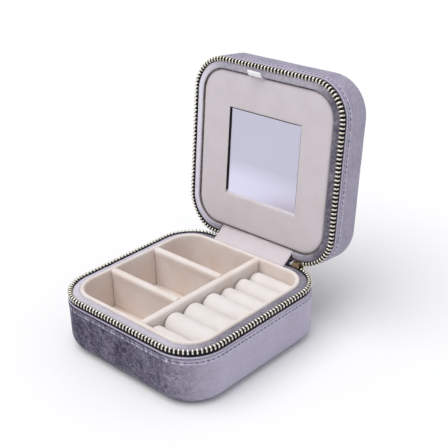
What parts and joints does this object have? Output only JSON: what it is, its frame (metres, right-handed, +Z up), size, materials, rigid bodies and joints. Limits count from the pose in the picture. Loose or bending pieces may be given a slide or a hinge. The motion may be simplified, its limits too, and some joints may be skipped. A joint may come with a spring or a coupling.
{
  "type": "travel jewelry case",
  "caption": "Square soft-covered case with a zip round lid, a lined tray with dividers and ring rolls, and a mirror flap in the lid.",
  "frame": {"origin": "centre of the underside of the base", "axes": "+Z up, +Y towards the hinge, -Y the opening side, +X to the right seen from the front"},
  "size_m": [0.1018, 0.1332, 0.1312],
  "materials": {
    "velvet": "lavender grey velvet",
    "cream_velvet": "short cream velvet",
    "board": "grey pressed board",
    "foam": "soft closed cell foam",
    "zip_tape": "dark woven tape",
    "zip_metal": "pale nickel",
    "slider_metal": "antique brass",
    "thread": "sewing thread",
    "mirror": "silvered glass",
    "ribbon": "white satin ribbon"
  },
  "bodies": {
    "base": {"base_cover": "velvet", "base_core_board": "board", "base_rim_band": "velvet", "base_zip_tape": "zip_tape", "base_zip_teeth": "zip_metal", "base_stitching": "thread", "tray_wall": "cream_velvet", "tray_floor": "cream_velvet", "tray_underlay": "foam", "long_divider": "cream_velvet", "ring_bed": "cream_velvet", "hinge_strip": "cream_velvet", "spine": "velvet", "ring_roll_1": "cream_velvet", "ring_roll_2": "cream_velvet", "ring_roll_3": "cream_velvet", "ring_roll_4": "cream_velvet", "ring_roll_5": "cream_velvet", "ring_roll_6": "cream_velvet", "ring_roll_7": "cream_velvet"},
    "lid": {"lid_cover": "velvet", "lid_core_board": "board", "lid_rim_band": "velvet", "lid_zip_tape": "zip_tape", "lid_zip_teeth": "zip_metal", "lid_zip_mouth_teeth": "zip_metal", "lid_stitching": "thread", "lid_lining": "cream_velvet", "lid_frame": "cream_velvet"},
    "mirror_flap": {"mirror_panel": "cream_velvet", "mirror_glass": "mirror", "mirror_backing": "board", "pull_tab": "ribbon"},
    "divider_front": {"cross_divider_front": "cream_velvet"},
    "divider_back": {"cross_divider_back": "cream_velvet"},
    "zip_slider": {"slider_body": "slider_metal"},
    "zip_pull": {"slider_pull": "slider_metal"}
  },
  "joints": [
    {"name": "lid_hinge", "type": "hinge", "parent": "base", "child": "lid", "pos_m": [0, 0.05, 0.031], "axis": [-1, 0, 0], "range_deg": [-96.3, 4], "deforming": ["hinge_strip", "spine", "pull_tab"]},
    {"name": "mirror_flap_hinge", "type": "hinge", "parent": "lid", "child": "mirror_flap", "pos_m": [0, 0.05195, 0.03773], "axis": [1, 0, 0], "range_deg": [0, 70]},
    {"name": "divider_front_lift", "type": "slide", "parent": "base", "child": "divider_front", "axis": [0, 0, 1], "range_m": [0, 0.024]},
    {"name": "divider_back_lift", "type": "slide", "parent": "base", "child": "divider_back", "axis": [0, 0, 1], "range_m": [0, 0.024]},
    {"name": "zip_slider_run", "type": "hinge", "parent": "base", "child": "zip_slider", "pos_m": [0.0295, 0.0295, 0.031], "axis": [0, 0, -1], "range_deg": [0, 90], "deforming": ["lid_zip_mouth_teeth"]},
    {"name": "zip_pull_hinge", "type": "hinge", "parent": "zip_slider", "child": "zip_pull", "pos_m": [0.0295, 0.05285, 0.0287], "axis": [1, 0, 0], "range_deg": [0, 60]}
  ]
}
